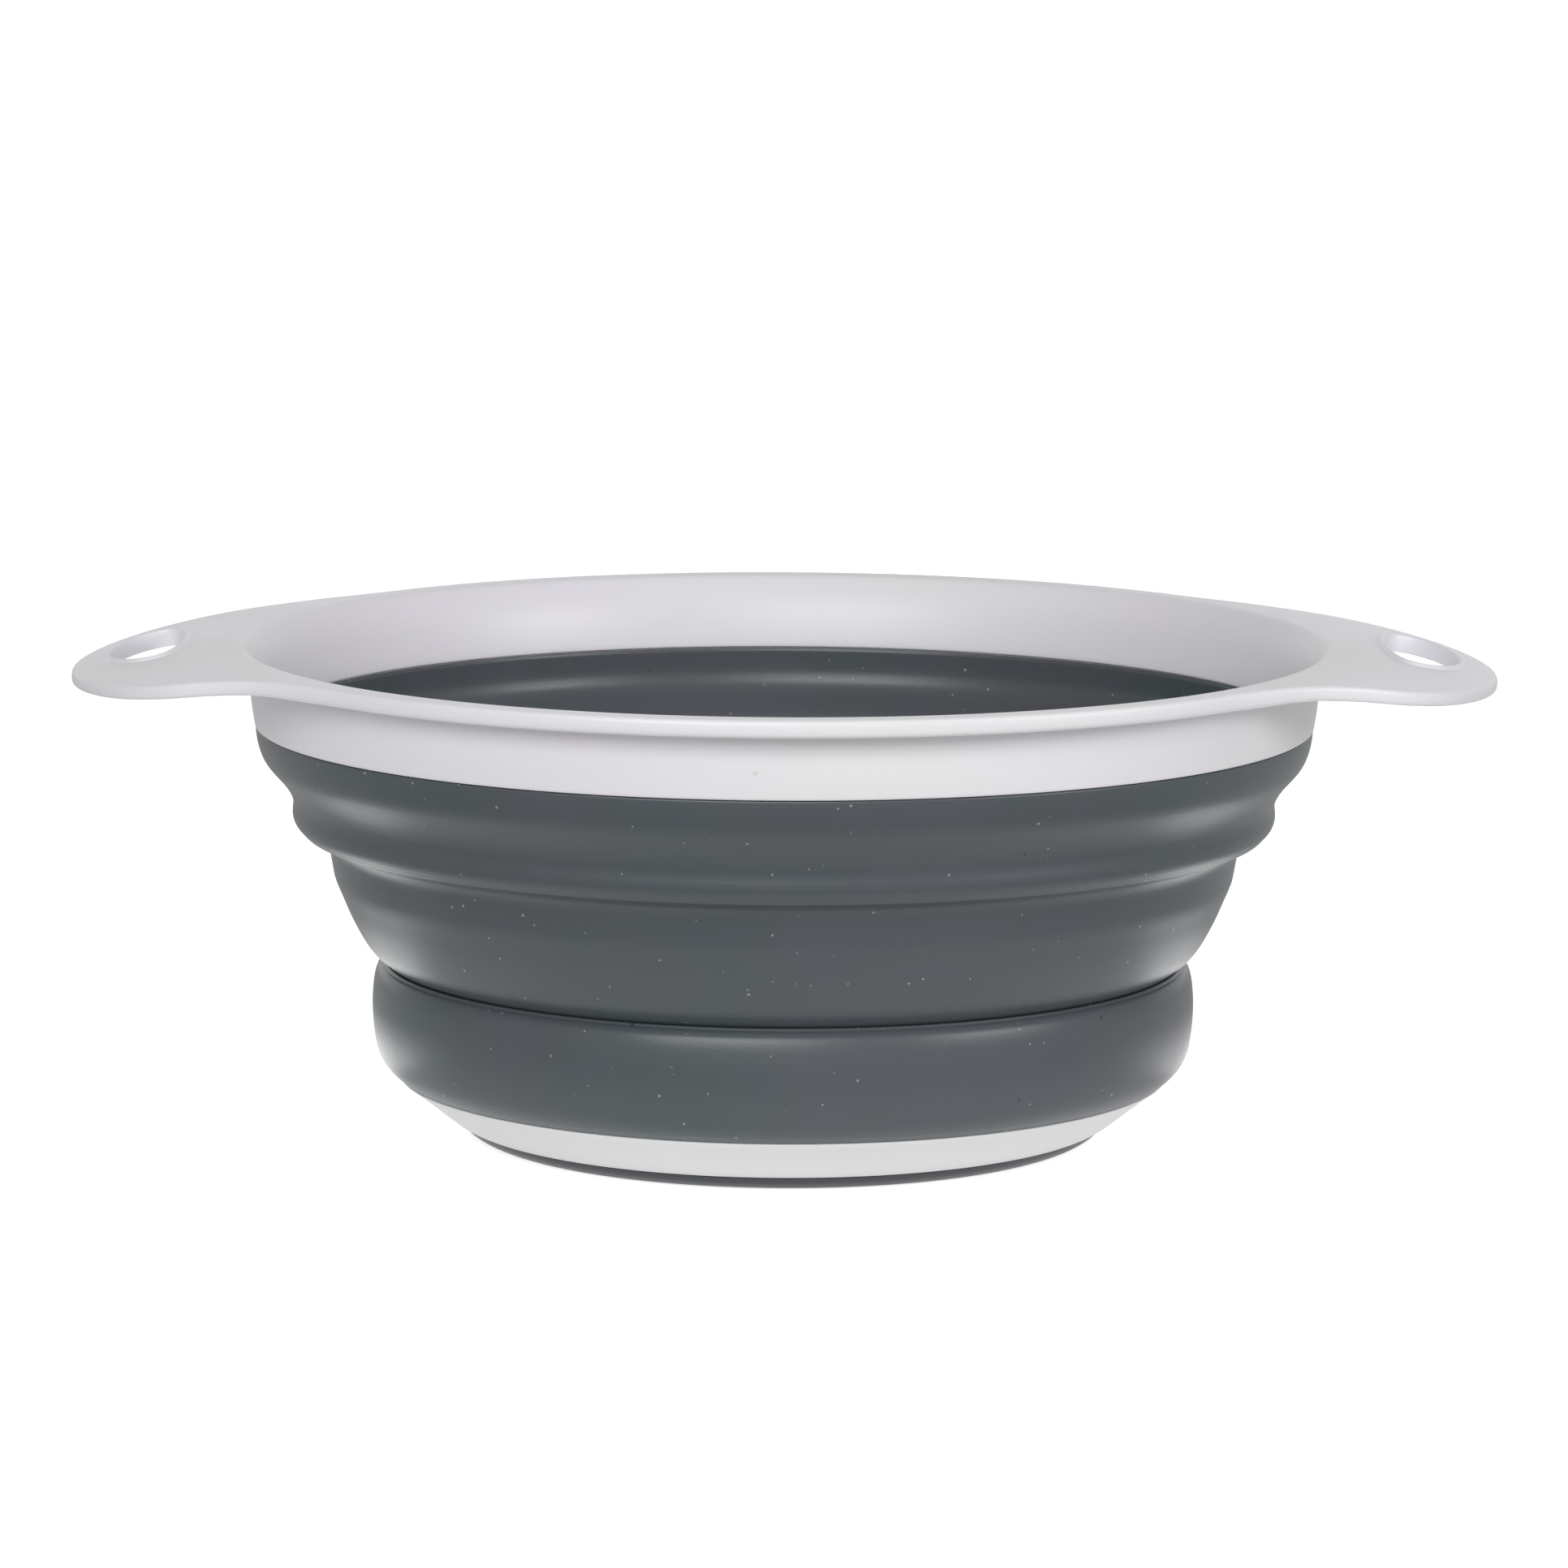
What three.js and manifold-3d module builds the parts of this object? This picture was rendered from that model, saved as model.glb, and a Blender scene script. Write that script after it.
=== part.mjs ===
// Collapsible pet bathtub: a stiff white rim with two handles, a soft grey concertina wall that folds down in
// two steps, a stiff white base pan and a soft grey foot ring.
// Millimetres, +Z up. The origin is the centre of the foot's bottom, and the handles lie along X.
// The tub is drawn pulled open. The rim and the ridge ring each slide straight down as the wall folds.

import * as THREE from 'three';
import { mergeVertices } from 'three/addons/utils/BufferGeometryUtils.js';
import Module from 'manifold-3d';

const wasm = await Module();
wasm.setup();

// ---------- driving sizes ----------

const RIM_R = 119.7; // outer edge of the rim's lip
const HEIGHT = 104.5; // top of the rim above the table
const HANDLE_REACH = 30.3; // how far a handle stands out from the lip

// Radii step inwards from the rim.
const LIP_WIDTH = 7.2; // the lip's overhang beyond the band
const BAND_TAPER = 1.1; // how much narrower the band is at its foot
const RIDGE_STEP = 8.4; // band to the ridge ring's crest
const NECK_STEP = 7.2; // ridge crest to the ridge's foot
const LOWER_STEP = 17.5; // ridge crest to the lower ring
const BASE_STEP = 5.3; // lower ring to the base pan's edge
const CONE_RUN = 12.4; // base pan's edge to the foot

// Heights stack up from the table and down from the rim. The lower fold takes what is left between them.
const FOOT_H = 3.4;
const CONE_H = 9.1;
const LOWER_H = 24.3;
const RIDGE_H = 10;
const UPPER_FOLD_H = 12.5;
const HEM_H = 3.4;
const BAND_H = 17.1;

// Walls.
const BAND_WALL = 3.6;
const LIP_T = 3.7;
const FOLD_WALL = 1.6;
const RIDGE_WALL = 2.5;
const LOWER_WALL = 3.3;
const PAN_WALL = 2.4;
const HANDLE_T = 3.2;
const TONGUE_T = 1.2; // the stiff tongue that the soft wall is moulded over
const SKIN_T = 1.0; // soft skin over the outside of a tongue
const GAP = 0.3; // clearance between pieces that touch

// Handles.
const HANDLE_ARC = 88; // half the length of lip that flares out into a handle
const HANDLE_DROP = 5.8; // how far the handle's top falls from the lip to its tip
const DOME_POWER = 1.62; // above 1 the top stays nearly level beside the lip and falls away towards the tip
const SLOT_LENGTH = 44.6;
const SLOT_BORDER = 8.5; // handle left outside the slot
const SLOT_SETBACK = 7.1; // from the lip's edge to the slot

// Foot ring and its rib.
const FOOT_WIDTH = 11.4;
const FOOT_TREAD = 5.2; // width of the flat that meets the table
const RIB_H = 2;
const RIB_INSET = 3.5; // from the foot ring's inner edge to the rib
const BEAD_R = 30; // stiffening bead under the floor
const BEAD_H = 0.9;

// Interlocks: notches in each tongue that webs of the soft wall fill.
const NOTCHES = 12;
const NOTCH_W = 6;
const NOTCH_DEPTH = 1.8;

const SEGMENTS = 48;

// ---------- places worked out from the sizes ----------

const BAND_R = RIM_R - LIP_WIDTH;
const BAND_FOOT_R = BAND_R - BAND_TAPER;
const RIDGE_R = BAND_R - RIDGE_STEP;
const RIDGE_FOOT_R = RIDGE_R - NECK_STEP;
const LOWER_R = RIDGE_R - LOWER_STEP;
const BASE_R = LOWER_R - BASE_STEP;
const FOOT_R = BASE_R - CONE_RUN;

const CONE_TOP = FOOT_H + CONE_H;
const LOWER_TOP = CONE_TOP + LOWER_H;
const BAND_FOOT = HEIGHT - BAND_H;
const HEM_FOOT = BAND_FOOT - HEM_H;
const RIDGE_TOP = HEM_FOOT - UPPER_FOLD_H;
const RIDGE_FOOT = RIDGE_TOP - RIDGE_H;
const TIP_R = RIM_R + HANDLE_REACH;

// ---------- helpers ----------

const at = (r, z) => new THREE.Vector2(r, z);

// Outline points given as [radius, height] steps from a corner.
const from = (r, z, steps) => steps.map(([dr, dz]) => at(r + dr, z + dz));

// A closed ring about Z with the given section.
function ring(section) {
  const closed = THREE.ShapeUtils.area(section) > 0 ? [...section] : [...section].reverse();
  closed.push(closed[0].clone());
  const geometry = new THREE.LatheGeometry(closed, SEGMENTS);
  geometry.rotateX(Math.PI / 2);
  return geometry;
}

// A line moved to the left of its own direction, with mitred corners.
function offset(line, distance) {
  return line.map((point, i) => {
    const before = line[Math.max(i - 1, 0)];
    const after = line[Math.min(i + 1, line.length - 1)];
    const into = (i === 0 ? after.clone().sub(point) : point.clone().sub(before)).normalize();
    const out = (i === line.length - 1 ? into.clone() : after.clone().sub(point)).normalize();
    const normal = at(-into.y - out.y, into.x + out.x).normalize();
    const mitre = distance / (normal.x * -into.y + normal.y * into.x);
    return point.clone().addScaledVector(normal, mitre);
  });
}

// The inner line of a wall of one thickness, point for point at the heights of its outer line.
function inside(line, wall) {
  return line.map((point, i) => {
    const along = line[Math.min(i + 1, line.length - 1)].clone().sub(line[Math.max(i - 1, 0)]);
    return at(point.x - (wall * along.length()) / Math.abs(along.y), point.y);
  });
}

const wallRing = (line, wall) => ring([...line, ...inside(line, wall).reverse()]);

function solid(geometry) {
  const bare = geometry.clone();
  bare.deleteAttribute('normal');
  bare.deleteAttribute('uv');
  const merged = mergeVertices(bare, 1e-4);
  const corners = merged.index.array;
  const triangles = [];
  for (let i = 0; i < corners.length; i += 3) {
    const [a, b, c] = corners.slice(i, i + 3);
    if (a !== b && b !== c && c !== a) triangles.push(a, b, c); // a triangle on the axis has no area
  }
  return new wasm.Manifold(new wasm.Mesh({
    numProp: 3,
    vertProperties: new Float32Array(merged.attributes.position.array),
    triVerts: new Uint32Array(triangles),
  }));
}

function geometryOf(manifold) {
  const mesh = manifold.getMesh();
  const geometry = new THREE.BufferGeometry();
  geometry.setAttribute('position', new THREE.BufferAttribute(new Float32Array(mesh.vertProperties), 3));
  geometry.setIndex(new THREE.BufferAttribute(new Uint32Array(mesh.triVerts), 1));
  return geometry;
}

// A flat outline in X and Y, extruded between two heights.
function plate(outline, low, high) {
  const depth = high - low;
  const geometry = new THREE.ExtrudeGeometry(new THREE.Shape(outline), { depth, bevelEnabled: false });
  geometry.translate(0, 0, low);
  return geometry;
}

// A ring of blocks between two radii and two heights, one at each interlock.
function blocks(width, inner, outer, low, high) {
  return Array.from({ length: NOTCHES }, (_, i) => {
    const block = new THREE.BoxGeometry(outer - inner, width, high - low);
    block.translate((inner + outer) / 2, 0, (low + high) / 2);
    block.rotateZ(((i + 0.5) * 2 * Math.PI) / NOTCHES);
    return solid(block);
  });
}

const join = (whole, pieces) => pieces.reduce((sum, piece) => sum.add(piece), whole);
const cut = (whole, pieces) => pieces.reduce((rest, piece) => rest.subtract(piece), whole);

// ---------- rim frame: lip, band, hidden tongue and both handles ----------

const TONGUE_OUTER = BAND_FOOT_R - SKIN_T - GAP;
const TONGUE_INNER = TONGUE_OUTER - TONGUE_T;
const TONGUE_FOOT = HEM_FOOT + SKIN_T;
const BAND_INNER_FOOT_R = BAND_FOOT_R - BAND_WALL + 0.1;
const INNER_BOUNDARY = BAND_FOOT + 1.4; // the soft hem stands a little higher inside than outside

function rimRing() {
  const lip = from(RIM_R, HEIGHT, [
    [-3.6, 0], [-0.8, 0], [0, -0.8], [0, -LIP_T + 0.6], [-0.6, -LIP_T],
  ]);
  const band = [
    at(BAND_R + 0.6, HEIGHT - LIP_T), at(BAND_R, HEIGHT - LIP_T - 0.8),
    at(BAND_R, (HEIGHT + BAND_FOOT) / 2 - 3), at(BAND_FOOT_R, BAND_FOOT),
  ];
  const tongue = [
    at(TONGUE_OUTER, BAND_FOOT), at(TONGUE_OUTER, TONGUE_FOOT),
    at(TONGUE_INNER, TONGUE_FOOT), at(TONGUE_INNER, INNER_BOUNDARY),
  ];
  const flare = [
    at(BAND_INNER_FOOT_R, INNER_BOUNDARY), at(BAND_INNER_FOOT_R + 1.3, HEIGHT - 8.5),
    at(BAND_R - 1.9, HEIGHT - 4.2), at(BAND_R - 0.2, HEIGHT - 1.6), at(RIM_R - 5.2, HEIGHT - 0.4),
  ];
  return ring([...lip, ...band, ...tongue, ...flare]);
}

// The handle's top is a shallow dome about Z that falls away from the lip.
const domeTop = (r) => {
  const share = Math.max(r - RIM_R, 0) / HANDLE_REACH;
  return HEIGHT - HANDLE_DROP * share ** DOME_POWER;
};

function handleFlange() {
  const stations = [0, 0.25, 0.5, 0.75, 1.06].map((share) => RIM_R + HANDLE_REACH * share);
  const top = stations.map((r) => at(r, domeTop(r)));
  const bottom = stations.map((r) => at(r, domeTop(r) - HANDLE_T)).reverse();
  const root = [at(RIM_R - 2.4, HEIGHT - LIP_T + 0.7), at(RIM_R - 2.4, HEIGHT - 0.3)];
  return ring([...top, ...bottom, ...root]);
}

// How far the edge stands out from the lip, from the middle of the handle to where it runs into the lip,
// as shares of the arc and of the reach.
const HANDLE_EDGE = new THREE.SplineCurve([
  at(-0.23, 0.94), at(0, 1), at(0.23, 0.94), at(0.42, 0.81), at(0.55, 0.62),
  at(0.65, 0.35), at(0.74, 0.17), at(0.87, 0.05), at(1, -0.02),
]);
const EDGE_STEPS = 16;

function handleOutline(side) {
  const half = Array.from({ length: EDGE_STEPS + 1 }, (_, i) => {
    const point = HANDLE_EDGE.getPoint(0.125 + (0.875 * i) / EDGE_STEPS);
    const angle = (point.x * HANDLE_ARC) / RIM_R;
    const r = RIM_R + HANDLE_REACH * point.y;
    return at(side * r * Math.cos(angle), r * Math.sin(angle));
  });
  const mirrored = half.slice(1).reverse().map((p) => at(p.x, -p.y));
  return [...mirrored, ...half];
}

// The slot is an egg laid across the handle: flatter beside the lip and round towards the tip.
const SLOT_OUTER_X = TIP_R - SLOT_BORDER;
const SLOT_INNER_X = RIM_R + SLOT_SETBACK;
const SLOT_WAIST = 0.3; // where its widest part lies, as a share of its depth

function slotOutline(side) {
  const depth = SLOT_OUTER_X - SLOT_INNER_X;
  const waist = SLOT_INNER_X + SLOT_WAIST * depth;
  const steps = 28;
  return Array.from({ length: steps }, (_, i) => {
    const turn = (2 * Math.PI * i) / steps;
    const reach = Math.cos(turn) > 0 ? SLOT_OUTER_X - waist : waist - SLOT_INNER_X;
    return at(side * (waist + reach * Math.cos(turn)), (SLOT_LENGTH / 2) * Math.sin(turn));
  });
}

function rimFrame() {
  const low = HEIGHT - HANDLE_DROP - 3 * HANDLE_T;
  const high = HEIGHT + HANDLE_T;
  const flange = solid(handleFlange());
  const handles = [1, -1].map((side) => flange.intersect(solid(plate(handleOutline(side), low, high))));
  const slots = [1, -1].map((side) => solid(plate(slotOutline(side), low, high)));
  const notches = blocks(
    NOTCH_W, TONGUE_INNER - 0.2, TONGUE_OUTER + 0.2, TONGUE_FOOT - GAP, TONGUE_FOOT + NOTCH_DEPTH,
  );
  return geometryOf(cut(cut(join(solid(rimRing()), handles), slots), notches));
}

// ---------- top hem: the soft channel that grips the rim's tongue ----------

function topHem() {
  const footInner = BAND_INNER_FOOT_R - 0.1;
  const channel = ring([
    at(BAND_FOOT_R - 0.05, BAND_FOOT - GAP), at(BAND_FOOT_R - 0.5, HEM_FOOT),
    at(footInner, HEM_FOOT), at(footInner, INNER_BOUNDARY - GAP),
    at(TONGUE_INNER - GAP, INNER_BOUNDARY - GAP), at(TONGUE_INNER - GAP, TONGUE_FOOT - GAP),
    at(TONGUE_OUTER + GAP, TONGUE_FOOT - GAP), at(TONGUE_OUTER + GAP, BAND_FOOT - GAP),
  ]);
  const webs = blocks(
    NOTCH_W - 2 * GAP, TONGUE_INNER - GAP - 0.3, TONGUE_OUTER + GAP + 0.3,
    TONGUE_FOOT - GAP - 0.2, TONGUE_FOOT + NOTCH_DEPTH - GAP,
  );
  return geometryOf(join(solid(channel), webs));
}

// ---------- upper fold: thin hinge wall between the hem and the ridge ring ----------

function upperFold() {
  const line = new THREE.CubicBezierCurve(
    at(BAND_FOOT_R - 0.5, HEM_FOOT - GAP), at(BAND_FOOT_R - 1.1, HEM_FOOT - 0.3 * UPPER_FOLD_H),
    at(RIDGE_R + 0.5, RIDGE_TOP + 0.28 * UPPER_FOLD_H), at(RIDGE_R - 0.45, RIDGE_TOP + GAP),
  ).getPoints(5);
  return wallRing(line, FOLD_WALL);
}

// ---------- ridge ring: the stiff step halfway down the wall ----------

function ridgeRing() {
  const outer = from(RIDGE_R, RIDGE_TOP, [
    [-0.5, 0], [0, -0.2 * RIDGE_H], [-0.2, -0.35 * RIDGE_H], [-1.2, -0.5 * RIDGE_H],
    [-0.39 * NECK_STEP, -0.67 * RIDGE_H],
  ]);
  const foot = at(RIDGE_FOOT_R, RIDGE_FOOT);
  const inner = [
    at(RIDGE_FOOT_R - RIDGE_WALL + 0.4, RIDGE_FOOT), at(RIDGE_R - RIDGE_WALL - 1.3, RIDGE_TOP - 0.52 * RIDGE_H),
    at(RIDGE_R - RIDGE_WALL, RIDGE_TOP - 0.25 * RIDGE_H), at(RIDGE_R - RIDGE_WALL - 0.4, RIDGE_TOP),
  ];
  return ring([...outer, foot, ...inner]);
}

// ---------- lower fold: the bowl-shaped hinge wall between the ridge and the lower ring ----------

const CREVICE_R = LOWER_R - 4.6; // where the fold turns out of the lower ring
const CREVICE_Z = LOWER_TOP - 1.3;

function lowerFold() {
  const neckZ = RIDGE_FOOT - 3.1;
  const bowl = new THREE.CubicBezierCurve(
    at(RIDGE_FOOT_R - 2, neckZ), at(RIDGE_FOOT_R - 4.7, neckZ - 0.41 * (neckZ - CREVICE_Z)),
    at(CREVICE_R + 6.3, CREVICE_Z + 5.7), at(CREVICE_R, CREVICE_Z),
  ).getPoints(7);
  return wallRing([at(RIDGE_FOOT_R - 0.1, RIDGE_FOOT - GAP), ...bowl], FOLD_WALL);
}

// ---------- lower ring: the stiff bottom tier, moulded over the base pan's tongue ----------

// The skirt is the ring's outer line over the tongue, from the base pan's edge upwards.
const SKIRT = [
  at(BASE_R, CONE_TOP), at(LOWER_R - 2.1, CONE_TOP + 3.9), at(LOWER_R - 1.3, CONE_TOP + 5.6),
  at(LOWER_R - 0.7, CONE_TOP + 9.1),
];
const PAN_TONGUE_OUTER = offset(SKIRT.slice(0, 3), SKIN_T + GAP);
const PAN_TONGUE_INNER = offset(SKIRT.slice(0, 3), SKIN_T + GAP + TONGUE_T);
const TONGUE_TOP = CONE_TOP + 5.6;

function levelled(line, low, high) {
  const between = line.filter((p) => p.y > low + 0.3 && p.y < high - 0.3);
  const first = line.findIndex((p) => p.y > low);
  const ends = [low, high].map((z) => {
    const i = z === low ? Math.max(first, 1) : line.length - 1;
    const [a, b] = [line[i - 1], line[i]];
    return at(a.x + ((b.x - a.x) * (z - a.y)) / (b.y - a.y), z);
  });
  return [ends[0], ...between, ends[1]];
}

function lowerRing() {
  const wall = from(LOWER_R, LOWER_TOP, [[-0.1, -4.8], [-1, -1.4], [-2.3, 0]]);
  const belly = at(LOWER_R, (LOWER_TOP + CONE_TOP) / 2 + 3.8);
  const shoulder = [
    at(LOWER_R - 3.1, LOWER_TOP - 0.4), at(CREVICE_R + 0.6, CREVICE_Z - GAP),
    at(CREVICE_R - 2.3, CREVICE_Z - GAP), at(LOWER_R - LOWER_WALL, LOWER_TOP - 6),
  ];
  const edge = levelled(SKIRT, CONE_TOP + GAP, SKIRT[3].y);
  const slotOuter = levelled(offset(SKIRT.slice(0, 3), SKIN_T), CONE_TOP + GAP, TONGUE_TOP + GAP);
  const slotInner = levelled(
    offset(SKIRT.slice(0, 3), SKIN_T + 2 * GAP + TONGUE_T), CONE_TOP + GAP + 1.2, TONGUE_TOP + GAP,
  );
  const lining = levelled(offset(SKIRT, LOWER_WALL + 0.3), CONE_TOP + GAP + 1.2, SKIRT[3].y);
  const channel = ring([
    ...edge, belly, ...wall, ...shoulder, ...lining.reverse(), ...slotInner, ...slotOuter.reverse(),
  ]);
  const webs = blocks(
    NOTCH_W - 2 * GAP, LOWER_R - LOWER_WALL - 1, LOWER_R - 2, TONGUE_TOP - NOTCH_DEPTH + GAP, TONGUE_TOP + GAP + 0.3,
  );
  return geometryOf(join(solid(channel), webs));
}

// ---------- base pan: floor, cone and the tongue that the lower ring is moulded over ----------

const PAN_UNDERSIDE = FOOT_H + GAP;
const FLOOR_TOP = PAN_UNDERSIDE + PAN_WALL;
const FOOT_INNER_R = FOOT_R - FOOT_WIDTH;
const RIB_R = FOOT_INNER_R + RIB_INSET;

function basePan() {
  const cone = [at(FOOT_R, PAN_UNDERSIDE), at(BASE_R, CONE_TOP)];
  const coneInner = offset(cone, PAN_WALL);
  const slope = (coneInner[1].x - coneInner[0].x) / (coneInner[1].y - coneInner[0].y);
  const atFloor = at(coneInner[0].x + slope * (FLOOR_TOP - coneInner[0].y), FLOOR_TOP);
  const tongueOuter = levelled(PAN_TONGUE_OUTER, CONE_TOP, TONGUE_TOP);
  const tongueInner = levelled(PAN_TONGUE_INNER, coneInner[1].y, TONGUE_TOP);
  const underside = [
    at(RIB_R + TONGUE_T, PAN_UNDERSIDE), at(RIB_R + TONGUE_T, PAN_UNDERSIDE - RIB_H),
    at(RIB_R, PAN_UNDERSIDE - RIB_H), at(RIB_R, PAN_UNDERSIDE),
    at(BEAD_R + 0.9, PAN_UNDERSIDE), at(BEAD_R, PAN_UNDERSIDE - BEAD_H), at(BEAD_R - 0.9, PAN_UNDERSIDE),
  ];
  const section = [
    at(0, FLOOR_TOP), atFloor, coneInner[1], ...tongueInner, ...tongueOuter.reverse(), cone[1], cone[0],
    ...underside, at(0, PAN_UNDERSIDE),
  ];
  const disc = new THREE.LatheGeometry(section.reverse(), SEGMENTS);
  disc.rotateX(Math.PI / 2);
  const notches = blocks(
    NOTCH_W, LOWER_R - LOWER_WALL - 3, LOWER_R, TONGUE_TOP - NOTCH_DEPTH, TONGUE_TOP + GAP,
  );
  return geometryOf(cut(solid(disc), notches));
}

// ---------- foot ring: soft tread, pressed over the rib under the base pan ----------

function footRing() {
  const treadInner = FOOT_INNER_R + 0.6;
  return ring([
    at(FOOT_R - 0.3, FOOT_H), at(FOOT_R - 0.9, FOOT_H - 1.4), at(FOOT_R - 2.9, 0.7),
    at(treadInner + FOOT_TREAD, 0), at(treadInner, 0), at(FOOT_INNER_R, 0.6), at(FOOT_INNER_R, FOOT_H),
    at(RIB_R - GAP, FOOT_H), at(RIB_R - GAP, FOOT_H - RIB_H),
    at(RIB_R + TONGUE_T + GAP, FOOT_H - RIB_H), at(RIB_R + TONGUE_T + GAP, FOOT_H),
  ]);
}

// ---------- finishes and assembly ----------

const whitePlastic = { color: 0xe2e1e6, roughness: 0.42, metalness: 0 };
const greyRubber = { color: 0x5c6064, roughness: 0.62, metalness: 0 };

const PIECES = [
  ['rim_frame', rimFrame, whitePlastic],
  ['wall_top_hem', topHem, greyRubber],
  ['upper_fold', upperFold, greyRubber],
  ['ridge_ring', ridgeRing, greyRubber],
  ['lower_fold', lowerFold, greyRubber],
  ['lower_ring', lowerRing, greyRubber],
  ['base_pan', basePan, whitePlastic],
  ['foot_ring', footRing, greyRubber],
];

const tub = new THREE.Group();
for (const [name, make, finish] of PIECES) {
  const mesh = new THREE.Mesh(make(), new THREE.MeshStandardMaterial(finish));
  mesh.name = name;
  tub.add(mesh);
}

export default tub;
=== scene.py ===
"""A collapsible pet bathtub: a stiff white rim with two slotted handles, a soft grey wall that folds down in
two steps, a white base pan and a soft foot ring. It is in metres with +Z up, and the handles lie along X.
"""

import math

import bmesh
import bpy
from mathutils import Matrix, Vector
from mathutils.geometry import interpolate_bezier


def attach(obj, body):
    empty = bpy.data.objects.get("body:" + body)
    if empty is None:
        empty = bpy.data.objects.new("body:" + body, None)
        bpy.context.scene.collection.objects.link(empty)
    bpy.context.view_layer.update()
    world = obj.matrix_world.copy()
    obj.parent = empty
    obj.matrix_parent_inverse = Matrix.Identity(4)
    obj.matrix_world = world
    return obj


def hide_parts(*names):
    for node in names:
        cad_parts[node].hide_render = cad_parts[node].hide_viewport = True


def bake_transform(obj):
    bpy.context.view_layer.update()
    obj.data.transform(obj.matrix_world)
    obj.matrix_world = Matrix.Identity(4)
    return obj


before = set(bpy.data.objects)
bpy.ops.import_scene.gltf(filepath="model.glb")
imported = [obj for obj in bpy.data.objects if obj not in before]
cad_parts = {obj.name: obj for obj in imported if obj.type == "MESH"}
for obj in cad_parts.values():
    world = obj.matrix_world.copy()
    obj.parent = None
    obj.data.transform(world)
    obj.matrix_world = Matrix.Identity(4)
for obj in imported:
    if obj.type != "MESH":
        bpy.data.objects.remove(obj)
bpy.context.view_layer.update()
scene = bpy.context.scene

# ---------- camera ----------
# A long lens on the tub's front, a little above the rim and looking slightly down into it.
camera = bpy.data.objects.new("camera", bpy.data.cameras.new("camera"))
scene.collection.objects.link(camera)
camera.data.sensor_width = 36
camera.data.lens = 169.19
camera.location = (0, -1.5396, 0.3073)
LOOK_DOWN = math.radians(8.62)
CAMERA_ROLL = math.radians(0.29)
camera.rotation_euler = (
    Matrix.Rotation(math.pi / 2 - LOOK_DOWN, 3, "X") @ Matrix.Rotation(CAMERA_ROLL, 3, "Z")
).to_euler()
scene.camera = camera

# ---------- rim: lip, band and both handles ----------
# One injection moulding in white polypropylene with a satin tool finish. The soft wall is moulded over the
# tongue under the band. The lip's top runs out into a slotted handle on each side.
MM = 0.001
RIM_R = 119.7
RIM_TOP = 104.5
LIP_T = 3.7
HANDLE_T = 3.2
HANDLE_REACH = 30.3
HANDLE_DROP = 5.8
HANDLE_HALF_ANGLE = math.radians(42.2)
LIP_INNER_R = 115.9
LIP_EDGE_R = 118.7
PLATE_ROWS = 12
RIM_STEPS = 288
HANDLE_DROP_POWER = 1.62
HANDLE_BLEND = 6  # the reach at which the lip has wholly turned into handle
DROP_SOFTENING = 3  # rounds the bend where the handle starts to fall away
THINNING_START = 2  # how far inside the lip's edge the plate starts to thin
THINNING_RUN = 5
# The slot is an egg laid across the handle: flatter beside the lip and round towards the tip. A low rounded
# bead runs round it on the top face: each row below is a step outwards and the height there, both in mm.
SLOT_WAIST_X = 131.3
SLOT_INWARD = 4.5
SLOT_OUTWARD = 10.8
SLOT_HALF = 22.8
SLOT_ROWS = (3, 9)
SLOT_COLUMNS = 9
SMOOTHED_COLUMNS = 32
SMOOTHING_PASSES = 150
SLOT_MOUTH_LIFT = 0.35
SLOT_BEAD = [(0.35, 0.75), (0.75, 0.75), (0.3, -0.1), (0.35, 0.0)]


def curve_through(knots, steps=4):
    """The knots (radius, height) with a soft curve drawn through them."""
    points = [Vector(knot) for knot in knots]
    last = len(points) - 1
    slopes = [(points[min(i + 1, last)] - points[max(i - 1, 0)]).normalized() for i in range(last + 1)]
    line = points[:1]
    for i in range(last):
        reach = (points[i + 1] - points[i]).length / 3
        leave = points[i] + slopes[i] * reach
        arrive = points[i + 1] - slopes[i + 1] * reach
        span = interpolate_bezier(points[i], leave, arrive, points[i + 1], steps + 1)
        line += [point.to_2d() for point in span[1:]]
    return line


def turned(section, steps, closed=True):
    """The section (radius and height, in mm) turned once round the tub's axis."""
    bm = bmesh.new()
    verts = [bm.verts.new((r * MM, 0, z * MM)) for r, z in section]
    pairs = list(zip(verts, verts[1:] + verts[:1] if closed else verts[1:]))
    edges = [bm.edges.new(pair) for pair in pairs]
    bmesh.ops.spin(
        bm, geom=verts + edges, cent=(0, 0, 0), axis=(0, 0, 1), angle=math.tau, steps=steps, use_merge=True
    )
    bmesh.ops.remove_doubles(bm, verts=bm.verts, dist=1e-6)
    bmesh.ops.recalc_face_normals(bm, faces=bm.faces)
    return bm


def piece_from(bm, name, material, smooth_angle=None):
    """A finished piece's object, smooth except at edges sharper than the angle."""
    mesh = bpy.data.meshes.new(name)
    bm.to_mesh(mesh)
    bm.free()
    mesh.polygons.foreach_set("use_smooth", [True] * len(mesh.polygons))
    if smooth_angle is not None:
        mesh.set_sharp_from_angle(angle=math.radians(smooth_angle))
    mesh.materials.append(material)
    piece = bpy.data.objects.new(name, mesh)
    scene.collection.objects.link(piece)
    return piece


def node_group(name, inputs, outputs):
    """An empty shader node group with those sockets, given as {name: (type, default)} and {name: type}."""
    group = bpy.data.node_groups.new(name, "ShaderNodeTree")
    for socket, (kind, default) in inputs.items():
        made = group.interface.new_socket(name=socket, in_out="INPUT", socket_type=f"NodeSocket{kind}")
        if default is not None:
            made.default_value = default
    for socket, kind in outputs.items():
        group.interface.new_socket(name=socket, in_out="OUTPUT", socket_type=f"NodeSocket{kind}")
    return group, group.nodes.new("NodeGroupInput"), group.nodes.new("NodeGroupOutput")


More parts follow.
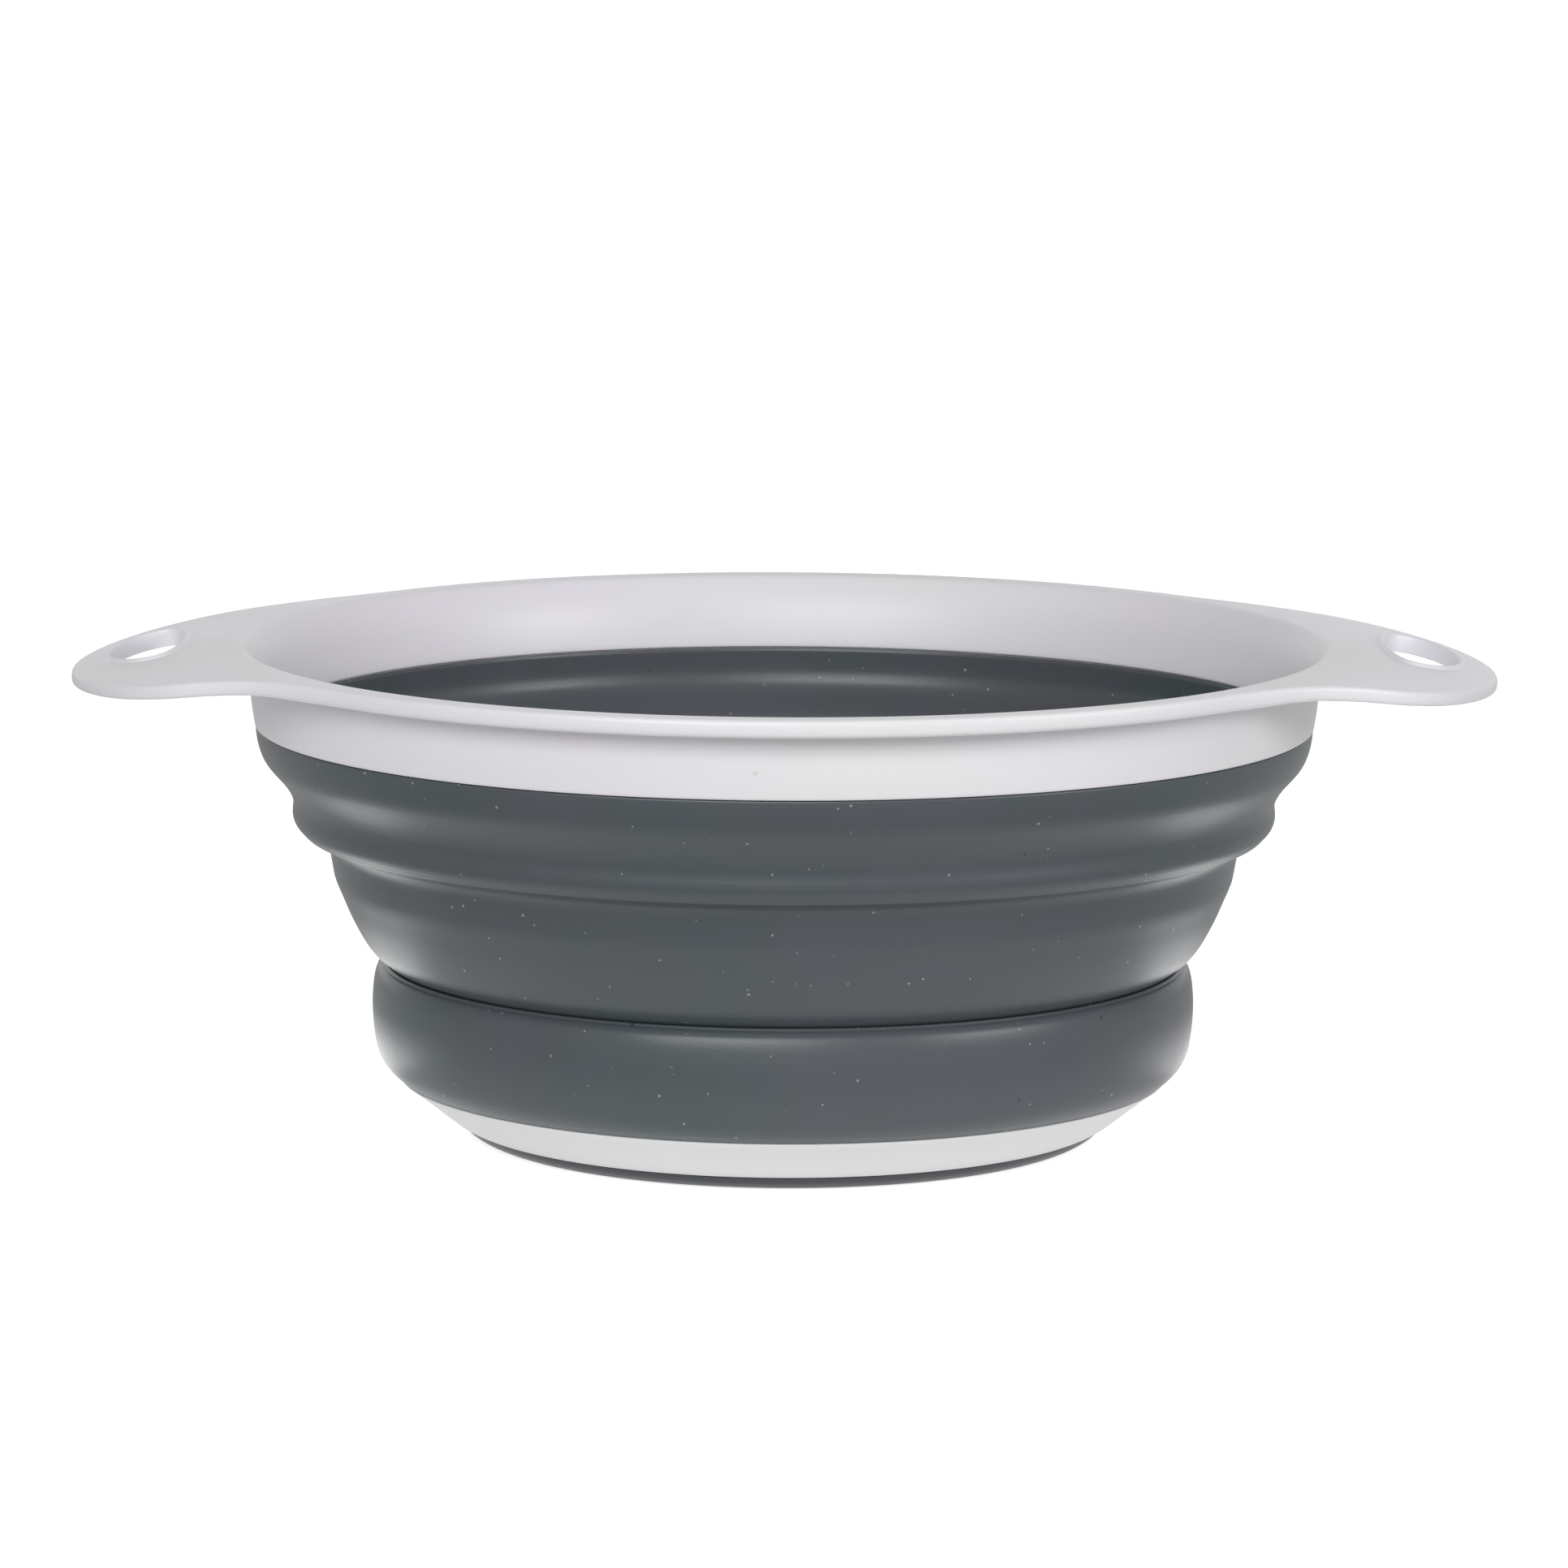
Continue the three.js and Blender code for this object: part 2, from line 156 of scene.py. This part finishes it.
def add(tree, kind, values=None, **settings):
    """A new node with its settings, and its input sockets set from values or linked from other sockets."""
    node = tree.nodes.new(kind)
    for key, value in settings.items():
        setattr(node, key, value)
    for key, value in (values or {}).items():
        if isinstance(value, bpy.types.NodeSocket):
            tree.links.new(value, node.inputs[key])
        else:
            node.inputs[key].default_value = value
    return node


def math_node(tree, operation, *values, clamp=False):
    inputs = dict(enumerate(values))
    return add(tree, "ShaderNodeMath", inputs, operation=operation, use_clamp=clamp).outputs[0]


def mixed(tree, share, first, second):
    """A colour mix."""
    node = add(tree, "ShaderNodeMix", {0: share, 6: first, 7: second}, data_type="RGBA")
    return node.outputs[2]


def ramp(tree, value, low, high, first=0.0, last=1.0):
    """The value between low and high stretched to run from first to last, and held beyond them."""
    values = {"Value": value, "From Min": low, "From Max": high, "To Min": first, "To Max": last}
    return add(tree, "ShaderNodeMapRange", values).outputs[0]


def moulded_grain():
    """A moulding's fine tool texture: a height for the bump, and slow patches for the colour and gloss."""
    tree, given, out = node_group(
        "moulded_grain",
        {"Vector": ("Vector", None), "Grain": ("Float", 2500.0), "Patches": ("Float", 30.0)},
        {"Height": "Float", "Patch": "Float"},
    )
    place = given.outputs["Vector"]
    fine = add(
        tree, "ShaderNodeTexNoise",
        {"Vector": place, "Scale": given.outputs["Grain"], "Detail": 3.0, "Roughness": 0.6},
    )
    patch = add(
        tree, "ShaderNodeTexNoise",
        {"Vector": place, "Scale": given.outputs["Patches"], "Detail": 4.0, "Roughness": 0.55},
    )
    tree.links.new(fine.outputs["Fac"], out.inputs["Height"])
    tree.links.new(patch.outputs["Fac"], out.inputs["Patch"])
    return tree


def specks():
    """Scattered round specks, such as dust: one in each cell whose random number is under the share."""
    tree, given, out = node_group(
        "specks",
        {
            "Vector": ("Vector", None), "Cells": ("Float", 120.0), "Size": ("Float", 0.05),
            "Share": ("Float", 0.2), "Seed": ("Float", 0.0),
        },
        {"Mask": "Float"},
    )
    shift = {0: given.outputs["Vector"], 1: given.outputs["Seed"]}
    moved = add(tree, "ShaderNodeVectorMath", shift, operation="ADD")
    cells = add(tree, "ShaderNodeTexVoronoi", {"Vector": moved.outputs[0], "Scale": given.outputs["Cells"]})
    split = add(tree, "ShaderNodeSeparateColor", {0: cells.outputs["Color"]})
    size = math_node(tree, "MULTIPLY", given.outputs["Size"], math_node(tree, "ADD", split.outputs[1], 0.4))
    away = math_node(tree, "DIVIDE", cells.outputs["Distance"], size)
    near = math_node(tree, "SUBTRACT", 1.0, away, clamp=True)
    soft = math_node(tree, "MULTIPLY", near, 2.5, clamp=True)
    chosen = math_node(tree, "LESS_THAN", split.outputs[0], given.outputs["Share"])
    mask = math_node(tree, "MULTIPLY", soft, chosen)
    tree.links.new(mask, out.inputs["Mask"])
    return tree


GRAIN = moulded_grain()
SPECKS = specks()


def group_node(tree, group, **values):
    return add(tree, "ShaderNodeGroup", values, node_tree=group)


def new_material(name):
    material = bpy.data.materials.new(name)
    material.use_nodes = True
    tree = material.node_tree
    coords = tree.nodes.new("ShaderNodeTexCoord").outputs["Object"]
    return material, tree, tree.nodes["Principled BSDF"], coords


def link_surface(tree, shader, colour, rough, bump):
    """Join a finish's colour, roughness and bump to its shader."""
    for socket, value in {"Base Color": colour, "Roughness": rough, "Normal": bump.outputs[0]}.items():
        tree.links.new(value, shader.inputs[socket])


def white_polypropylene(name, tint, patch_tint, roughness):
    """Satin white polypropylene: slow milky patches, a fine tool grain and a few specks of dust."""
    material, tree, shader, coords = new_material(name)
    grain = group_node(tree, GRAIN, Vector=coords, Grain=2600.0, Patches=9.0)
    dust = group_node(tree, SPECKS, Vector=coords, Cells=170.0, Size=0.07, Share=0.05, Seed=3.1)
    patch = ramp(tree, grain.outputs["Patch"], 0.36, 0.64)
    colour = mixed(tree, patch, (*tint, 1), (*patch_tint, 1))
    dusty = math_node(tree, "MULTIPLY", dust.outputs["Mask"], 0.25)
    colour = mixed(tree, dusty, colour, (0.30, 0.29, 0.28, 1))
    rough = ramp(tree, grain.outputs["Patch"], 0.3, 0.7, roughness - 0.05, roughness + 0.05)
    relief = {"Strength": 0.25, "Distance": 0.00006, "Height": grain.outputs["Height"]}
    bump = add(tree, "ShaderNodeBump", relief)
    link_surface(tree, shader, colour, rough, bump)
    shader.inputs["IOR"].default_value = 1.49
    shader.inputs["Subsurface Weight"].default_value = 0.12
    shader.inputs["Subsurface Scale"].default_value = 0.002
    shader.inputs["Subsurface Radius"].default_value = (1.0, 0.9, 0.8)
    return material


RIM_WHITE = white_polypropylene("rim_white", (0.785, 0.765, 0.815), (0.765, 0.768, 0.772), 0.38)

# How far the handle's edge stands out, as a share of its reach, from its middle to where it joins the lip.
HANDLE_EDGE = curve_through(
    [
        (-0.42, 0.81), (-0.23, 0.94), (0, 1), (0.23, 0.94), (0.42, 0.81), (0.55, 0.62), (0.65, 0.35),
        (0.74, 0.17), (0.87, 0.05), (1, 0), (1.13, 0),
    ],
    12,
)


def edge_share(turn):
    """The handle edge's share of the reach at a share of its half angle."""
    if turn >= 1:
        return 0.0
    for before, after in zip(HANDLE_EDGE, HANDLE_EDGE[1:]):
        if before.x <= turn <= after.x:
            return before.y + (after.y - before.y) * (turn - before.x) / (after.x - before.x)
    return 0.0


def soft_step(value):
    value = min(max(value, 0), 1)
    return value * value * (3 - 2 * value)


def rim_section():
    """The rim's closed section: lip top, edge, underside, band, tongue and inner flare."""
    rows = [LIP_INNER_R + (LIP_EDGE_R - LIP_INNER_R) * i / PLATE_ROWS for i in range(PLATE_ROWS + 1)]
    top = [(r, RIM_TOP) for r in rows]
    edge = [
        (119.25, 104.36), (119.58, 103.95), (119.7, 103.3), (119.7, 102.5), (119.65, 101.8), (119.4, 101.1),
    ]
    under = [(r, RIM_TOP - LIP_T) for r in reversed(rows)]
    band = [
        (114.6, 100.8), (113.5, 100.78), (112.85, 100.6), (112.55, 100.1), (112.5, 99.2), (112.5, 96.5),
        (112.35, 93.5), (112.0, 90.6), (111.6, 88.2), (111.48, 87.6), (111.3, 87.42), (110.9, 87.4),
        (110.2, 87.4),
    ]
    tongue = [
        (110.1, 87.3), (110.1, 86.8), (110.1, 85.2), (110.0, 85.0), (109.0, 85.0), (108.9, 85.2),
        (108.9, 88.2), (108.9, 88.7), (108.8, 88.8),
    ]
    flare = [
        (108.3, 88.82), (108.02, 88.88), (107.92, 89.1), (107.95, 90.0), (108.35, 92.6), (108.95, 95.4),
        (109.75, 98.2), (110.85, 100.6), (112.0, 102.3), (113.0, 103.5), (113.6, 104.08), (114.2, 104.4),
        (115.0, 104.5),
    ]
    return top + edge + under + band + tongue + flare


def slot_outline(count):
    """Points at even steps round the slot of the +X handle, from its inner middle towards +Y."""
    fine = 720
    line = []
    for i in range(fine):
        turn = math.pi - math.tau * i / fine
        reach = SLOT_OUTWARD if math.cos(turn) > 0 else SLOT_INWARD
        line.append(Vector((SLOT_WAIST_X + reach * math.cos(turn), SLOT_HALF * math.sin(turn))))
    lengths = [0.0]
    for i in range(fine):
        lengths.append(lengths[-1] + (line[(i + 1) % fine] - line[i]).length)
    points = []
    for i in range(count):
        target = lengths[-1] * i / count
        k = next(j for j in range(fine) if lengths[j + 1] >= target)
        share = (target - lengths[k]) / (lengths[k + 1] - lengths[k])
        points.append(line[k].lerp(line[(k + 1) % fine], share))
    for _ in range(2):
        points = [
            points[i] * 0.5 + (points[i - 1] + points[(i + 1) % count]) * 0.25 for i in range(count)
        ]
    return points


def rim_mesh():
    """The turned section with its lip drawn out into two handles, and a slot cut through each."""
    bm = turned(rim_section(), RIM_STEPS)
    plate, flange = {}, []
    row_step = (LIP_EDGE_R - LIP_INNER_R) / PLATE_ROWS
    for vert in bm.verts:
        r, z = math.hypot(vert.co.x, vert.co.y) / MM, vert.co.z / MM
        if z < RIM_TOP - LIP_T - 0.05 or r < LIP_INNER_R - 0.01:
            continue
        from_handle = math.asin(vert.co.y / MM / r)
        spread = HANDLE_REACH * edge_share(abs(from_handle) / HANDLE_HALF_ANGLE)
        share = min((r - LIP_INNER_R) / (LIP_EDGE_R - LIP_INNER_R), 1)
        if r < LIP_EDGE_R + 0.01:
            side = 1 if vert.co.x > 0 else -1
            layer = "top" if z > RIM_TOP - LIP_T / 2 else "under"
            column = round(from_handle * RIM_STEPS / math.tau)
            plate[side, layer, column, round((r - LIP_INNER_R) / row_step)] = vert
        flange.append((vert, z, spread))
        vert.co.x *= 1 + spread * share / r
        vert.co.y *= 1 + spread * share / r

    near, far = SLOT_ROWS
    end = SLOT_COLUMNS
    around = (
        [(c, near) for c in range(end)] + [(end, k) for k in range(near, far)]
        + [(c, far) for c in range(end, -end, -1)] + [(-end, k) for k in range(far, near, -1)]
        + [(c, near) for c in range(-end, 0)]
    )
    outline = slot_outline(len(around))
    inside = set()
    for side in (1, -1):
        for layer in ("top", "under"):
            loop = [plate[(side, layer) + key] for key in around]
            for vert, point in zip(loop, outline):
                vert.co.x, vert.co.y = side * point.x * MM, point.y * MM
            inside |= {plate[side, layer, c, k] for c in range(-end, end + 1) for k in range(near, far + 1)}
    holes = [face for face in bm.faces if all(vert in inside for vert in face.verts)]
    bmesh.ops.delete(bm, geom=holes, context="FACES")
    free = [
        vert for (side, layer, c, k), vert in plate.items()
        if vert.is_valid and 0 < k < PLATE_ROWS and abs(c) <= SMOOTHED_COLUMNS and (c, k) not in around
    ]
    for _ in range(SMOOTHING_PASSES):
        bmesh.ops.smooth_vert(bm, verts=free, factor=0.5, use_axis_x=True, use_axis_y=True)

    # The bead's rows are inset from the slot's mouth while the plate is still flat.
    rings = []
    for step, _ in SLOT_BEAD:
        ringed = {face for ring in rings for face in ring}
        rest = [face for face in bm.faces if face not in ringed]
        rings.append(
            set(bmesh.ops.inset_region(
                bm, faces=rest, thickness=step * MM, use_boundary=True, use_even_offset=True
            )["faces"])
        )
    lifts = {vert: SLOT_MOUTH_LIFT for vert in bm.verts if vert.is_boundary}
    for i, (_, lift) in enumerate(SLOT_BEAD):
        inner = {vert for ring in rings[:i] for face in ring for vert in face.verts} | set(lifts)
        lifts |= {vert: lift for face in rings[i] for vert in face.verts if vert not in inner}
    flange_verts = {vert for vert, _, _ in flange}
    flange += [(vert, vert.co.z / MM, HANDLE_REACH) for vert in lifts if vert not in flange_verts]

    for vert, z, spread in flange:
        if not vert.is_valid:
            continue
        r = math.hypot(vert.co.x, vert.co.y) / MM
        out = soft_step(spread / HANDLE_BLEND)
        beyond = r - RIM_R
        share = (math.hypot(beyond, DROP_SOFTENING) + beyond) / 2 / HANDLE_REACH
        depth = (RIM_TOP - z) / LIP_T
        thinner = (LIP_T - HANDLE_T) * depth * soft_step((beyond + THINNING_START) / THINNING_RUN)
        lift = lifts.get(vert, 0) if depth < 0.5 else 0
        vert.co.z = (z + lift + out * (thinner - HANDLE_DROP * share**HANDLE_DROP_POWER)) * MM

    mouths = [edge for edge in bm.edges if edge.is_boundary]
    for side in (1, -1):
        edges = [edge for edge in mouths if edge.verts[0].co.x * side > 0]
        wall = bmesh.ops.bridge_loops(bm, edges=edges)
        bmesh.ops.subdivide_edges(bm, edges=[edge for edge in wall["edges"] if edge not in edges], cuts=3)
    bmesh.ops.recalc_face_normals(bm, faces=bm.faces)
    return bm


rim = piece_from(rim_mesh(), "rim", RIM_WHITE)
rounded = rim.modifiers.new("rounded", "SUBSURF")
rounded.levels = rounded.render_levels = 1
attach(rim, "rim")
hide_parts("rim_frame")

# ---------- wall ----------
# One soft moulding in slate-grey thermoplastic rubber: a hem over the rim's tongue, a thin upper fold, a
# stiff ridge, a thin lower fold and a stiff lower ring over the base pan's tongue. It is made here in two
# halves that meet in the step under the ridge.
WALL_STEPS = 240
FOLD_WALL = 1.6


def inward(line, wall):
    """The line moved square to itself towards the tub's inside, for a line that runs down the outside."""
    moved = []
    for i, point in enumerate(line):
        along = (line[min(i + 1, len(line) - 1)] - line[max(i - 1, 0)]).normalized()
        moved.append(point + Vector((along.y, -along.x)) * wall)
    return moved


def slate_rubber(name, cool, warm):
    """Satin slate-grey rubber: soft cool and warm patches, a fine grain, and tiny light and dark specks."""
    material, tree, shader, coords = new_material(name)
    grain = group_node(tree, GRAIN, Vector=coords, Grain=1800.0, Patches=14.0)
    light = group_node(tree, SPECKS, Vector=coords, Cells=400.0, Size=0.11, Share=0.28, Seed=0.7)
    dark = group_node(tree, SPECKS, Vector=coords, Cells=230.0, Size=0.10, Share=0.05, Seed=5.3)
    patch = ramp(tree, grain.outputs["Patch"], 0.38, 0.62)
    colour = mixed(tree, patch, (*cool, 1), (*warm, 1))
    lightened = math_node(tree, "MULTIPLY", light.outputs["Mask"], 0.6)
    darkened = math_node(tree, "MULTIPLY", dark.outputs["Mask"], 0.8)
    colour = mixed(tree, lightened, colour, (0.42, 0.41, 0.39, 1))
    colour = mixed(tree, darkened, colour, (0.02, 0.02, 0.022, 1))
    rough = ramp(tree, grain.outputs["Patch"], 0.3, 0.7, 0.28, 0.37)
    relief = {"Strength": 0.35, "Distance": 0.00008, "Height": grain.outputs["Height"]}
    bump = add(tree, "ShaderNodeBump", relief)
    link_surface(tree, shader, colour, rough, bump)
    return material


RUBBER = slate_rubber("slate_rubber", (0.061, 0.079, 0.084), (0.074, 0.079, 0.091))

# The upper half, down its outside: hem, fold, neck and ridge, then back up its inside.
upper_outside = curve_through(
    [
        (111.33, 87.1), (111.2, 85.6), (110.8, 83.5), (110.1, 81.4), (109.2, 79.8), (107.95, 78.3),
        (106.5, 76.7), (105.15, 75.0), (104.2, 73.4), (103.7, 72.2), (103.52, 71.3), (103.53, 70.3),
        (103.63, 69.3), (103.62, 68.3), (103.35, 67.3), (102.8, 66.4), (102.15, 65.7), (101.65, 65.15),
        (101.25, 64.85), (100.8, 64.75),
    ],
    5,
)
upper_inside = curve_through(
    [
        (97.9, 64.7), (98.9, 65.55), (99.9, 66.15), (100.8, 67.05), (101.4, 68.2), (101.6, 69.4),
        (101.4, 70.6), (101.25, 71.6), (101.7, 73.0), (102.8, 74.9), (104.3, 76.8), (105.9, 78.7),
        (107.1, 80.7), (107.65, 82.6), (107.8, 84.4), (107.8, 88.3),
    ],
    6,
)
hem_channel = [(108.0, 88.6), (108.7, 88.5), (108.7, 84.8), (110.3, 84.8), (110.3, 87.2), (111.2, 87.25)]
step_under = [(99.9, 64.9), (98.9, 64.6)]
wall_upper = piece_from(
    turned([*upper_outside, *step_under, *upper_inside, *hem_channel], WALL_STEPS), "wall_upper", RUBBER, 50
)
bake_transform(wall_upper)
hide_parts("wall_top_hem", "upper_fold", "ridge_ring")

# The lower half: under the ridge, the bowl-shaped fold, the crevice, the lower ring, and then its inside.
lower_outside = curve_through(
    [
        (100.9, 65.1), (99.9, 64.75), (98.7, 64.1), (97.3, 63.1), (96.35, 61.8), (95.8, 60.2), (95.4, 58.0),
        (94.8, 55.0), (93.3, 51.3), (91.4, 46.9), (88.8, 42.1), (86.9, 39.6), (85.0, 37.95), (83.5, 36.9),
        (82.4, 36.1),
    ],
    6,
)
crevice = curve_through([(82.2, 35.7), (82.4, 35.35), (82.9, 35.6), (83.4, 36.3)], 3)
lower_ring = curve_through(
    [
        (83.6, 36.75), (83.95, 37.0), (84.35, 36.9), (84.65, 36.5), (85.2, 36.15), (85.95, 35.2),
        (86.45, 33.6), (86.75, 31.6), (86.95, 28.6), (86.9, 25.5), (86.6, 22.0), (86.0, 18.7),
        (85.05, 16.4), (83.4, 14.4), (81.6, 12.95),
    ],
    5,
)
lower_skirt = [
    (81.35, 12.75), (80.6, 13.2), (82.6, 15.3), (83.8, 18.4), (82.6, 18.4), (81.3, 15.9), (78.9, 14.0),
]
lower_lining = curve_through(
    [
        (78.6, 14.5), (80.4, 17.4), (81.8, 21.0), (82.9, 25.6), (83.2, 29.4), (82.9, 31.8), (81.7, 33.9),
        (80.5, 35.1), (80.15, 35.9), (80.7, 36.9),
    ],
    4,
)
LINING_TOP = 38.0  # the fold's inside starts above the lower ring's lining
STEP_INNER_R = 99.0  # and ends at the step under the ridge
fold_inside = reversed(inward(lower_outside, FOLD_WALL))
lower_inside = [point for point in fold_inside if point.y > LINING_TOP and point.x < STEP_INNER_R]
wall_lower = piece_from(
    turned([*lower_outside, *crevice, *lower_ring, *lower_skirt, *lower_lining, *lower_inside], WALL_STEPS),
    "wall_lower", RUBBER, 50,
)
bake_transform(wall_lower)
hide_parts("lower_fold", "lower_ring")

# ---------- base pan ----------
# One injection moulding in white polypropylene: a flat floor, a cone and a tongue for the lower ring.
BASE_WHITE = white_polypropylene("base_white", (0.72, 0.715, 0.73), (0.71, 0.711, 0.712), 0.40)
pan_section = [
    (0, 6.1), (30, 6.1), (64.0, 6.1), (66.4, 6.15), (68.0, 6.6), (78.0, 13.6), (80.6, 15.6), (81.9, 18.1),
    (83.1, 18.1), (82.1, 15.9), (80.3, 13.3), (81.2, 12.85), (81.45, 12.6), (81.3, 12.3), (79.1, 10.75),
    (76.5, 8.75), (73.9, 6.65), (71.4, 4.7), (69.6, 3.55), (68.9, 3.25), (68.2, 3.2), (66.0, 3.6),
    (62.2, 3.7), (62.2, 1.7), (61.0, 1.7), (61.0, 3.7), (30.9, 3.7), (30.5, 3.0), (30.0, 2.8),
    (29.5, 3.0), (29.1, 3.7), (0, 3.7),
]
base_pan = piece_from(turned(pan_section, WALL_STEPS, closed=False), "base_pan", BASE_WHITE, 40)
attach(base_pan, "base")
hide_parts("base_pan")

# ---------- foot ring ----------
# A soft rubber tread, pressed over the rib under the base pan so that the tub doesn't slide.
# Its tints are the wall rubber's made darker: painted shade for the shadow under the base pan.
SHADED_FOOT_RUBBER = slate_rubber("foot_rubber_painted_shade", (0.042, 0.046, 0.052), (0.048, 0.046, 0.056))
foot_tread = curve_through([(67.4, 1.7), (66.2, 0.9), (64.9, 0.35), (63.6, 0.06), (62.4, 0)], 3)
foot_section = [
    (68.15, 2.95), (67.95, 2.4), *foot_tread, (58.4, 0), (57.8, 0.15), (57.5, 0.5), (57.5, 3.1), (57.7, 3.4),
    (60.7, 3.4), (60.7, 1.4), (62.5, 1.4), (62.5, 3.4), (66.0, 3.3),
]
foot_ring = piece_from(turned(foot_section, WALL_STEPS), "foot_ring", SHADED_FOOT_RUBBER, 40)
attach(foot_ring, "base")
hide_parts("foot_ring")

# ---------- floor and light ----------
# A plain pale floor that glows like a light table, under a soft white surround and two large lamps. It glows
# most beside the tub, to put soft light on the wall's sides, and it looks evenly white to the camera.
FLOOR_HALF = 6
floor_bm = bmesh.new()
bmesh.ops.create_grid(floor_bm, x_segments=1, y_segments=1, size=FLOOR_HALF)
floor_material, floor_tree, floor_shader, floor_coords = new_material("pale_floor")
floor_shader.inputs["Roughness"].default_value = 0.9
floor_shader.inputs["Specular IOR Level"].default_value = 0.1
floor_shader.inputs["Emission Color"].default_value = (1, 1, 1, 1)
floor_place = add(floor_tree, "ShaderNodeSeparateXYZ", {0: floor_coords})
aside = math_node(floor_tree, "ABSOLUTE", floor_place.outputs["X"])
back = math_node(floor_tree, "MULTIPLY", floor_place.outputs["Y"], 2.0)
past = math_node(floor_tree, "ADD", aside, back)
beside = ramp(floor_tree, past, 0.105, 0.155, 0.54, 1.9)
reach = add(floor_tree, "ShaderNodeVectorMath", {0: floor_coords}, operation="LENGTH").outputs["Value"]
faded = ramp(floor_tree, reach, 0.125, 0.185, 1.0, 0.12)
lit = math_node(floor_tree, "MULTIPLY", beside, faded)
seen = floor_tree.nodes.new("ShaderNodeLightPath").outputs["Is Camera Ray"]
glow = add(floor_tree, "ShaderNodeMix", {0: seen, 2: lit, 3: 0.75})
paint = mixed(floor_tree, seen, (0.5, 0.5, 0.5, 1), (0.9, 0.9, 0.9, 1))
floor_tree.links.new(paint, floor_shader.inputs["Base Color"])
floor_tree.links.new(glow.outputs[0], floor_shader.inputs["Emission Strength"])
floor = piece_from(floor_bm, "floor", floor_material)

world = bpy.data.worlds.new("surround")
scene.world = world
world.use_nodes = True
sky = world.node_tree
direction = add(sky, "ShaderNodeSeparateXYZ", {0: sky.nodes.new("ShaderNodeTexCoord").outputs["Generated"]})
height = ramp(sky, direction.outputs["Z"], 0.0, 0.8, 0.9, 0.5)
behind = ramp(sky, direction.outputs["Y"], 0.6, 0.95, 0.0, 0.8)
ahead = ramp(sky, direction.outputs["Y"], -0.9, 0.1, 0.8, 0.48)
level = math_node(sky, "ADD", ahead, behind)
around = math_node(sky, "MULTIPLY", height, level)
sky.links.new(around, sky.nodes["Background"].inputs["Strength"])
sky.nodes["Background"].inputs["Color"].default_value = (1, 1, 1, 1)


def soft_lamp(name, place, size, power, aim=(0, 0, 0.06)):
    """A large rectangular lamp at that place, turned to face the aim."""
    lamp = bpy.data.objects.new(name, bpy.data.lights.new(name, "AREA"))
    scene.collection.objects.link(lamp)
    lamp.data.shape = "RECTANGLE"
    lamp.data.size, lamp.data.size_y = size
    lamp.data.energy = power
    lamp.location = place
    lamp.rotation_euler = (Vector(aim) - Vector(place)).to_track_quat("-Z", "Y").to_euler()


soft_lamp("front_lamp", (-0.5, -2.0, 1.1), (1.8, 1.0), 27)
soft_lamp("side_lamp", (1.5, -0.9, 0.75), (0.9, 0.6), 9, aim=(-0.08, 0, 0.09))
scene.view_settings.view_transform = "Standard"
